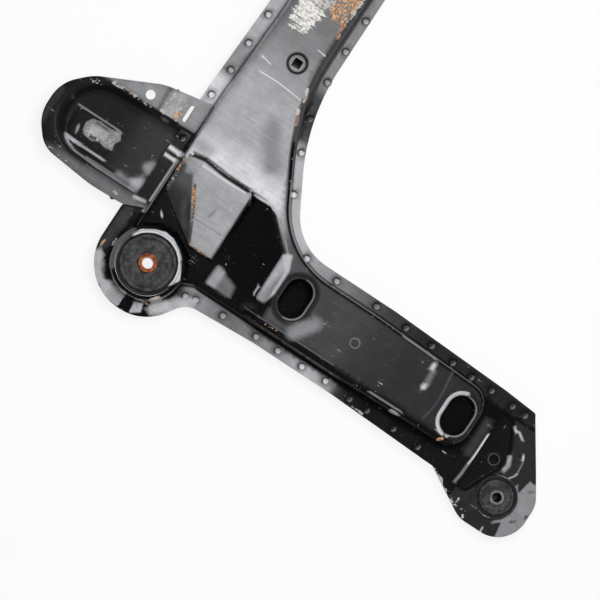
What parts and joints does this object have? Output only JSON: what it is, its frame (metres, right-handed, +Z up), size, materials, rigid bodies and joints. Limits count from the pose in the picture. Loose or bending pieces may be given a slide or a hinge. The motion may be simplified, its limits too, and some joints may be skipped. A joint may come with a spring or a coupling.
{
  "type": "subframe",
  "caption": "Welded U-shaped car subframe of two pressed shells, with dished brackets, folded gussets and rubber body bushes.",
  "frame": {"origin": "middle of the part's plan, at the foot of the bush sleeves", "axes": "+X across the car, +Y to the front, +Z up through the bush bolts"},
  "size_m": [0.923, 0.725, 0.0764],
  "materials": {
    "black_paint": "worn glossy black paint on pressed steel",
    "bush_steel": "dull bare steel",
    "bush_rubber": "matte moulded rubber",
    "rusty_steel": "rusty bare steel"
  },
  "bodies": {
    "root": {"upper_shell": "black_paint", "lower_shell": "black_paint", "left_control_arm_bracket": "black_paint", "left_gusset": "black_paint", "left_end_bracket": "black_paint", "left_corner_bush_tube": "black_paint", "left_corner_bush_outer_sleeve": "bush_steel", "left_corner_bush_rubber": "bush_rubber", "left_corner_bush_inner_sleeve": "rusty_steel", "left_end_bush_tube": "black_paint", "left_end_bush_outer_sleeve": "bush_steel", "left_end_bush_rubber": "bush_rubber", "left_end_bush_inner_sleeve": "bush_steel", "right_control_arm_bracket": "black_paint", "right_gusset": "black_paint", "right_end_bracket": "black_paint", "right_corner_bush_tube": "black_paint", "right_corner_bush_outer_sleeve": "bush_steel", "right_corner_bush_rubber": "bush_rubber", "right_corner_bush_inner_sleeve": "rusty_steel", "right_end_bush_tube": "black_paint", "right_end_bush_outer_sleeve": "bush_steel", "right_end_bush_rubber": "bush_rubber", "right_end_bush_inner_sleeve": "bush_steel"}
  },
  "joints": []
}
